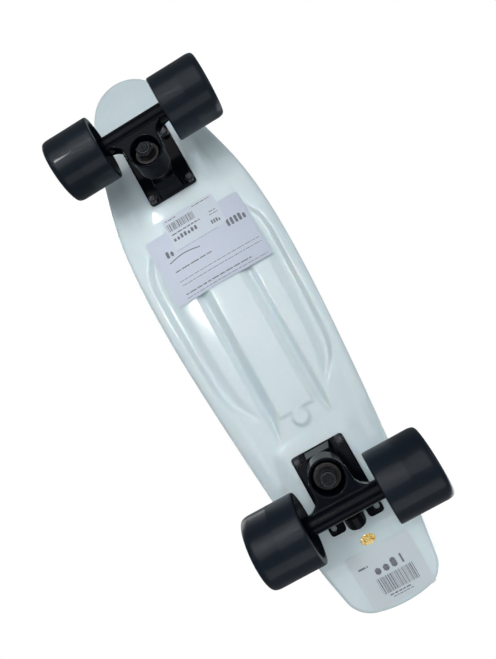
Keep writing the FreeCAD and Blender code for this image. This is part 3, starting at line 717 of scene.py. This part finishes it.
def countersink(x, y):
    """The wall of a screw's hole, from the top surface down past the head."""
    rings = []
    for radius, drop in ((SCREW_SINK, 0), (SCREW_HOLE, 2.5 * MM), (SCREW_HOLE, 6 * MM)):
        rings.append(lifted(circle(HOLE_POINTS) * radius + (x, y), top) - (0, 0, drop))
    return strip(rings)


def grip_level(x, y):
    """The top between the grip blocks: it lies below the rim, but not round the screws."""
    points = np.column_stack([x, y])
    sink = GRIP_SINK * smooth_step(margin(points), 8 * MM, 11 * MM)
    for spot in screw_places():
        sink = sink * smooth_step(np.hypot(x - spot[0], y - spot[1]), 6.2 * MM, 8.5 * MM)
    return top(x, y) - sink


def make_deck():
    lower_points, lower_faces = filled(inset(RIM_ROUND), [], UNDERSIDE_GRID)
    holes = [(x, y, SCREW_SINK) for x, y in screw_places()]
    upper_points, upper_faces = filled(inset(RIM_ROUND), holes, TOP_GRID)
    parts = [(lifted(lower_points, underside), lower_faces),
             (lifted(upper_points, grip_level), upper_faces),
             strip(rim_rings()), *(countersink(x, y) for x, y in screw_places())]
    deck = piece("moulded_deck", *join(*parts), "deck_plastic", "board", weld=2e-6)
    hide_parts("deck")


def make_grip():
    """Raised blocks with rounded corners, moulded all over the top for grip."""
    pitch, size, corner = 8.4 * MM, 6.9 * MM, 1.5 * MM
    plain_margin, plain_round_screw = 14 * MM, 11 * MM
    xs = np.arange(TAIL + 16 * MM, NOSE - 12 * MM, pitch)
    ys = np.arange(-8, 9) * pitch
    spots = np.array([(x, y) for x in xs for y in ys])
    reach = np.interp(spots[:, 0], *half_width())
    spots = spots[np.abs(spots[:, 1]) < reach]
    spots = spots[margin(spots) > plain_margin]
    block = filleted([(a * size / 2, b * size / 2, corner) for a, b in
                      ((-1, -1), (1, -1), (1, 1), (-1, 1))], 3)
    block = np.array([tuple(p) for p in block])
    parts = []
    for spot in spots:
        if min(np.hypot(*(np.array(s) - spot)) for s in screw_places()) < plain_round_screw:
            continue
        rings = [lifted(block * scale + spot, top) - (0, 0, drop) for scale, drop in
                 ((1.0, GRIP_SINK + 0.3 * MM), (0.97, 0.18 * MM), (0.86, 0.02 * MM))]
        verts, faces = strip(rings)
        count = len(block)
        cap = tuple(range(2 * count, 3 * count))
        parts.append((verts, faces + [cap, tuple(range(count))[::-1]]))
    piece("grip_blocks", *join(*parts), "deck_plastic", "board", smooth=False)


# ---------------------------------------------------------------- labels and print

def sheet(low, high, level, thickness, corner=0.0, spacing=2.5 * MM):
    """A closed thin sheet that follows the underside, between two (x, y) corners.

    level is how far its deck side stands below the label bed.
    """
    nx = max(1, math.ceil((high[0] - low[0]) / spacing))
    ny = max(1, math.ceil((high[1] - low[1]) / spacing))
    u, v = np.meshgrid(np.linspace(0, 1, nx + 1), np.linspace(0, 1, ny + 1), indexing="ij")
    x = low[0] + (high[0] - low[0]) * u
    y = low[1] + (high[1] - low[1]) * v
    if corner:
        fade = np.clip(corner - np.minimum(y - low[1], high[1] - y), 0, corner)
        pull = corner - np.sqrt(corner ** 2 - fade ** 2)
        x = x + pull * (1 - 2 * u)
    x, y = x.ravel(), y.ravel()
    base = label_bed(x, y) - level
    near = np.column_stack([x, y, base])
    far = near - (0, 0, thickness)
    verts = np.concatenate([near, far])
    grid = np.arange((nx + 1) * (ny + 1)).reshape(nx + 1, ny + 1)
    total = grid.size
    faces = []
    for i in range(nx):
        for j in range(ny):
            cell = (grid[i, j], grid[i + 1, j], grid[i + 1, j + 1], grid[i, j + 1])
            faces.append(tuple(int(k) for k in cell))
            faces.append(tuple(int(k) + total for k in cell[::-1]))
    edge = [*grid[:, 0], *grid[-1, 1:], *grid[::-1, -1][1:], *grid[0, ::-1][1:-1]]
    edge = [int(k) for k in edge]
    for a, b in zip(edge, edge[1:] + edge[:1]):
        faces.append((a, a + total, b + total, b))
    return verts, faces


PAPER = 0.16 * MM
PRINT = 0.03 * MM
PRINT_GAP = 0.01 * MM
LABEL_CORNER = 1.2 * MM


def words(x, start, end, size, level, bold=1.0):
    """A line of print as word-like bars along Y, at x, of letters size high."""
    bars = []
    y = start
    while y < end:
        length = size * random.uniform(1.2, 3.6)
        stop = min(y + length, end)
        if stop - y > size * 0.4:
            half = size * 0.28 * bold
            bars.append(sheet((x - half, y), (x + half, stop), level, PRINT, spacing=4 * MM))
        y = stop + size * 0.45
    return bars


def barcode(x0, x1, y0, y1, level):
    """Parallel stripes of uneven width across Y, as a stand-in for a machine code."""
    bars = []
    y = y0
    while y < y1:
        width = random.choice((0.35, 0.35, 0.7, 1.05)) * MM
        bars.append(sheet((x0, y), (x1, min(y + width, y1)), level, PRINT, spacing=6 * MM))
        y += width + random.choice((0.35, 0.6, 0.9)) * MM
    return bars


def blocks(x0, x1, y0, y1, count, level):
    """A row of plain solid blocks in place of large characters."""
    pitch = (y1 - y0) / count
    bars = []
    for k in range(count):
        low, high = y0 + (k + 0.14) * pitch, y0 + (k + 0.8) * pitch
        short = (x1 - x0) * random.choice((0, 0, 0.28))
        bars.append(sheet((x0, low), (x1 - short, high), level, PRINT, 0.3 * (high - low)))
    return bars


def label(name, node, finish, level, marks):
    """A label in place of its CAD node, and its print as a piece of its own."""
    low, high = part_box(node)
    paper_piece = piece(name, *sheet(low[:2], high[:2], level, PAPER, LABEL_CORNER), finish,
                        "board", "label_paper")
    paper_piece.data.set_sharp_from_angle(angle=math.radians(40))
    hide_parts(node)
    piece(name + "_print", *join(*marks(low, level + PAPER + PRINT_GAP)), "ink", "board",
          "label_paper", smooth=False)


def care_marks(low, level):
    """Lines of word-like bars, two rows of blocks and a curved line."""
    marks = []
    for from_edge, start, end, size, bold in (
            (3.2, -38, 50, 1.8, 0.6), (7.2, -37, 34, 2.2, 0.95), (16.5, -36, 50, 1.8, 0.6),
            (21.0, -37, 50, 1.8, 0.6), (31.5, -36, 4, 2.6, 0.8), (49.0, -25, 22, 1.2, 0.5)):
        marks += words(low.x + from_edge * MM, start * MM, end * MM, size * MM, level, bold)
    x = low.x + 43 * MM
    marks += blocks(x + 4 * MM, x + 11.5 * MM, -37 * MM, -28 * MM, 2, level)
    marks += blocks(x + 1 * MM, x + 9 * MM, 29 * MM, 50 * MM, 5, level)
    dashes, step = 14, 2.4
    for k in range(dashes):
        bow = 2.2 * math.sin(math.pi * k / (dashes - 1))
        spot = (-37 + step * k) * MM
        marks.append(sheet((x + (bow - 1.5) * MM, spot), (x + (bow - 0.4) * MM, spot + 2.5 * MM),
                           level, PRINT))
    return marks


def bar_marks(low, level):
    """A striped block, two rows of blocks and short lines of word-like bars."""
    marks = barcode(low.x + 19 * MM, low.x + 27 * MM, -23 * MM, 6 * MM, level)
    marks += words(low.x + 15.5 * MM, -22 * MM, 9 * MM, 1.8 * MM, level, 1.2)
    marks += blocks(low.x + 8 * MM, low.x + 13 * MM, -23 * MM, 4 * MM, 7, level)
    marks += blocks(low.x + 4 * MM, low.x + 9 * MM, 17 * MM, 27 * MM, 4, level)
    for from_edge, start, end in ((30.5, 8, 27), (30.5, -22, -10), (17, 20, 27), (14, 19, 28)):
        marks += words(low.x + from_edge * MM, start * MM, end * MM, 1.5 * MM, level)
    return marks


def tail_marks(low, level):
    """A striped block, a row of large blocks and three lines of word-like bars."""
    marks = barcode(low.x + 11 * MM, low.x + 27 * MM, -12 * MM, 23 * MM, level)
    marks += blocks(low.x + 30 * MM, low.x + 39 * MM, -10 * MM, 21 * MM, 4, level)
    marks += words(low.x + 41.5 * MM, -21 * MM, -12 * MM, 2.2 * MM, level, 1.4)
    marks += words(low.x + 8.4 * MM, -8 * MM, 12 * MM, 1.8 * MM, level, 1.3)
    marks += words(low.x + 5.8 * MM, -6 * MM, 14 * MM, 1.5 * MM, level)
    return marks


def make_seal():
    """An oval foil seal with a crinkled, slightly domed face."""
    centre = middle("foil_seal")
    count = 48
    half = np.array([4.5, 6.8]) * MM
    rings = []
    for share in (1.0, 0.96, 0.8, 0.6, 0.4, 0.2):
        ring = circle(count) * half * share + centre[:2]
        dome = (0.05 + 0.18 * (1 - share ** 4) + 0.05 * random.random()) * MM
        rings.append(lifted(ring, height) - (0, 0, dome))
    verts, faces = strip([lifted(rings[0][:, :2], height) - (0, 0, 0.01 * MM), *rings])
    faces += [tuple(range(count)), tuple(range(len(verts) - count, len(verts)))]
    seal = piece("gold_seal", verts, faces, "seal_foil", "board")
    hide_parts("foil_seal")


# ---------------------------------------------------------------- trucks

def kingpin_place(end):
    """The kingpin's seat and direction, from the centres of its two washers."""
    lower, upper = middle(f"{end}_lower_washer"), middle(f"{end}_upper_washer")
    axis = (upper - lower).normalized()
    half_washer = 0.65 * MM
    return lower - axis * half_washer, axis


def make_bushing(end, name, radius, waist, start, finish):
    """A urethane bushing between the baseplate and the yoke.

    start and finish are distances down the kingpin, on the board's side and on the truck's.
    """
    seat, axis = kingpin_place(end)
    low, high = sorted((start, finish))
    mid = (low + high) / 2
    bore, fillet, lip = 5 * MM, 0.8 * MM, 1.6 * MM
    shoulder = radius - 0.4 * MM
    corners = [(bore, low, 0), (shoulder, low, fillet), (radius, low + lip, fillet),
               (radius - waist, mid, 2 * MM), (radius, high - lip, fillet),
               (shoulder, high, fillet), (bore, high, 0)]
    verts, faces = lathe(filleted(corners, 4), pointing(seat, axis), 64)
    bushing = piece(f"{end}_{name}_soft", verts, faces, "bushing_urethane", None)
    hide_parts(f"{end}_{name}")
    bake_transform(bushing)


def cupped_washer(end):
    """The pressed washer under the kingpin nut, with a rolled rim."""
    seat, axis = kingpin_place(end)
    low, high = 26.15 * MM, 27.35 * MM
    bore, radius = 4.9 * MM, 11 * MM
    rim, hollow, fillet = low - 0.6 * MM, high - 0.25 * MM, 0.3 * MM
    corners = [(bore, low, 0), (10.2 * MM, low, fillet), (10.5 * MM, rim, fillet),
               (radius, rim, fillet), (radius, high, 0.8 * MM), (9.2 * MM, high, 0.5 * MM),
               (8.8 * MM, hollow, fillet), (bore, hollow, 0)]
    washer = piece(f"{end}_cupped_washer", *lathe(filleted(corners, 4), pointing(seat, axis), 64),
                   "washer_steel", "board", "black_steel")
    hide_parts(f"{end}_upper_washer")


def insert_ring(name, place, bore, radius, finish, body, slot):
    """The nylon locking ring that shows in the mouth of a lock nut."""
    foot, face, fillet = -0.5 * MM, 0.12 * MM, 0.25 * MM
    corners = [(bore, foot, 0), (radius, foot, 0), (radius, face, fillet), (bore, face, fillet)]
    piece(name, *lathe(filleted(corners, 3), place, 40), finish, body, slot)


def make_truck(end):
    cast_skin(f"{end}_baseplate_cast", f"{end}_baseplate", 0.55 * MM, 5, "board")
    cast_skin(f"{end}_hanger_cast", f"{end}_hanger", 0.55 * MM, 6, f"{end}_truck")
    make_bushing(end, "lower_bushing", 11.6 * MM, 0.7 * MM, 1.3 * MM, 13.75 * MM)
    make_bushing(end, "upper_bushing", 10.6 * MM, 0.5 * MM, 26.1 * MM, 18.75 * MM)
    cupped_washer(end)
    seat, axis = kingpin_place(end)
    insert_ring(f"{end}_kingpin_insert", pointing(seat + axis * 35.6 * MM, axis), 4.85 * MM,
                5.7 * MM, "insert_nylon", "board", "black_steel")
    for hand, side in HANDS.items():
        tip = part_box(f"{end}_axle_nuts")[(side + 1) // 2].y
        mid = middle(f"{end}_axle")
        insert_ring(f"{end}_{hand}_axle_insert", pointing((mid.x, tip, mid.z), (0, side, 0)),
                    4.05 * MM, 4.7 * MM, "insert_nylon", f"{end}_truck", "black_steel")


# ---------------------------------------------------------------- wheels

def tyre_side(half, radius, edge):
    """The outline of one side of a cast wheel, from the core out to the tread."""
    floor = half - 12.4 * MM
    return [(17.05 * MM, floor, 0), (19.5 * MM, floor, 0.6 * MM),
            (21.2 * MM, half - 9.4 * MM, 1.6 * MM), (23.4 * MM, half - 3 * MM, 2 * MM),
            (24.6 * MM, half, 0.9 * MM), (26.6 * MM, half, 0.4 * MM),
            (radius - 0.3 * edge, half - 0.25 * edge, 0.4 * edge),
            (radius, half - 1.25 * edge, 0.6 * edge)]


def make_tyre(name, side):
    """A cast wheel: rounded outboard, crisper inboard, with a dish on each side and a seam."""
    node = f"{name}_tyre"
    low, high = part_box(node)
    half = (high.y - low.y) / 2
    radius = (high.z - low.z) / 2
    outboard = tyre_side(half, radius, 3.6 * MM)
    inboard = tyre_side(half, radius, 1.5 * MM)
    tread = radius - 0.06 * MM
    seam = [(tread, 0.7 * MM, 0), (radius, 0.25 * MM, 0), (radius, -0.25 * MM, 0),
            (tread, -0.7 * MM, 0)]
    corners = outboard + seam + [(r, -y, c) for r, y, c in reversed(inboard)]
    place = pointing(middle(node), (0, side, 0))
    tyre = piece(f"{name}_wheel_cast", *lathe(filleted(corners, 6), place, 144), "wheel_urethane",
                 f"{name}_wheel")
    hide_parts(node)


def make_wheels():
    for end in ENDS:
        for hand, side in HANDS.items():
            make_tyre(f"{end}_{hand}", side)


# ---------------------------------------------------------------- the carried-over CAD pieces

def dress_cad():
    """Give each CAD node its slot's material, or a threaded one, and smooth its round faces."""
    threaded = {"front_axle": "threaded_steel", "rear_axle": "threaded_steel",
                "deck_screws": "bolt_steel"}
    for part in frame["record"]["subparts"]:
        node = frame["nodes"][part["node"]]
        slot = threaded.get(part["node"], part["material_slot"])
        node.data.materials.clear()
        node.data.materials.append(finishes[slot])
        node.data.shade_smooth()
        node.data.set_sharp_from_angle(angle=math.radians(35))


# ---------------------------------------------------------------- camera, light and floor

def make_camera():
    """Below the board and a little behind its middle, looking up at the underside."""
    data = bpy.data.cameras.new("camera")
    data.lens = 30.36
    data.sensor_width = 36
    data.clip_start = 0.01
    camera = bpy.data.objects.new("camera", data)
    bpy.context.scene.collection.objects.link(camera)
    forward = Vector((0.1878, -0.0735, 0.9795)).normalized()
    right = Vector((-0.4788, 0.8639, 0.1566)).normalized()
    above = right.cross(forward)
    turn = Matrix((right, above, -forward)).transposed().to_4x4()
    camera.matrix_world = Matrix.Translation((-0.1048, 0.0356, -0.4197)) @ turn
    bpy.context.scene.camera = camera


def soft_light(name, at, towards, size, power, tint=(1, 1, 1), spread=180):
    """A rectangular light at a point, turned towards another; spread is in degrees."""
    data = bpy.data.lights.new(name, "AREA")
    data.shape = "RECTANGLE"
    data.size, data.size_y = size
    data.energy = power
    data.color = tint
    data.spread = math.radians(spread)
    made = bpy.data.objects.new(name, data)
    bpy.context.scene.collection.objects.link(made)
    made.location = at
    made.rotation_euler = (Vector(towards) - Vector(at)).to_track_quat("-Z", "Y").to_euler()


def make_lights():
    """Lights above, a broad one that the underside reflects, and a narrow window for its glints."""
    deck = (0, 0, 0.08)
    soft_light("key_above", (1.5, -1.6, 1.7), deck, (1.9, 1.9), 36)
    soft_light("fill_above", (-0.9, 1.0, 1.2), deck, (1.4, 1.0), 14, (0.93, 0.97, 1))
    soft_light("ceiling_below", (0.47, -0.13, -1.45), deck, (1.3, 1.65), 11.8)
    soft_light("side_below", (0.05, 1.3, -0.62), deck, (1.2, 0.7), 3.2)
    soft_light("tail_below", (-1.5, 0.0, -0.75), deck, (1.4, 0.9), 5.5)
    window = (0.46, -0.365, -1.42)
    soft_light("window_on_lens", window, (0.018, -0.034, 0.08), (0.19, 0.22), 0.015, spread=6)
    soft_light("window_on_nose", window, (0.2, -0.02, 0.02), (0.17, 0.2), 0.02, spread=8)
    soft_light("window_on_tail", window, (-0.17, -0.02, 0.02), (0.17, 0.2), 0.02, spread=8)


def make_world():
    """White to the eye, and a dim, cool and even light."""
    world = bpy.data.worlds.new("studio")
    bpy.context.scene.world = world
    world.use_nodes = True
    nodes, links = world.node_tree.nodes, world.node_tree.links
    nodes.clear()
    seen = nodes.new("ShaderNodeBackground")
    seen.inputs["Color"].default_value = (1, 1, 1, 1)
    lit = nodes.new("ShaderNodeBackground")
    lit.inputs["Color"].default_value = (0.93, 0.97, 1, 1)
    lit.inputs["Strength"].default_value = 0.24
    path = nodes.new("ShaderNodeLightPath")
    mix = nodes.new("ShaderNodeMixShader")
    out = nodes.new("ShaderNodeOutputWorld")
    links.new(path.outputs["Is Camera Ray"], mix.inputs[0])
    links.new(lit.outputs[0], mix.inputs[1])
    links.new(seen.outputs[0], mix.inputs[2])
    links.new(mix.outputs[0], out.inputs[0])


def make_floor():
    """A wide pale disc under the wheels, fading outwards, which only shows from above."""
    mesh = bpy.data.meshes.new("floor")
    radius, count = 6, 96
    ring = [(x, y, 0) for x, y in radius * circle(count)]
    mesh.from_pydata(ring, [], [tuple(range(count))])
    floor = bpy.data.objects.new("floor", mesh)
    bpy.context.scene.collection.objects.link(floor)
    look = Finish("floor_card", Roughness=0.7)
    look.colour(look.between(look.cloud(0.3), 0, 1), (0.80, 0.80, 0.80), (0.77, 0.77, 0.775))
    clear = look.add("ShaderNodeBsdfTransparent")
    facing = look.add("ShaderNodeNewGeometry")
    reach = look.add("ShaderNodeVectorMath", operation="LENGTH")
    look.feed(look.place, reach.inputs[0])
    far = look.between(reach.outputs["Value"], 0, 1, 0.5, 1.5)
    mix = look.add("ShaderNodeMixShader")
    look.feed(look.math("MAXIMUM", facing.outputs["Backfacing"], far), mix.inputs[0])
    look.feed(look.shader.outputs[0], mix.inputs[1])
    look.feed(clear.outputs[0], mix.inputs[2])
    look.feed(mix.outputs[0], look.tree.nodes["Material Output"].inputs["Surface"])
    mesh.materials.append(look.material)
    floor.visible_shadow = False
    floor.visible_diffuse = False
    floor.visible_glossy = False


# ---------------------------------------------------------------- the scene

bpy.context.scene.view_settings.view_transform = "Standard"
make_camera()
make_lights()
make_world()
make_floor()
dress_cad()
make_deck()
make_grip()
label("care_paper", "care_label", "label_paper", 0.05 * MM, care_marks)
label("bar_film", "bar_label", "film", 0.3 * MM, bar_marks)
label("tail_paper", "tail_label", "tail_film", 0.05 * MM, tail_marks)
make_seal()
for end in ENDS:
    make_truck(end)
make_wheels()
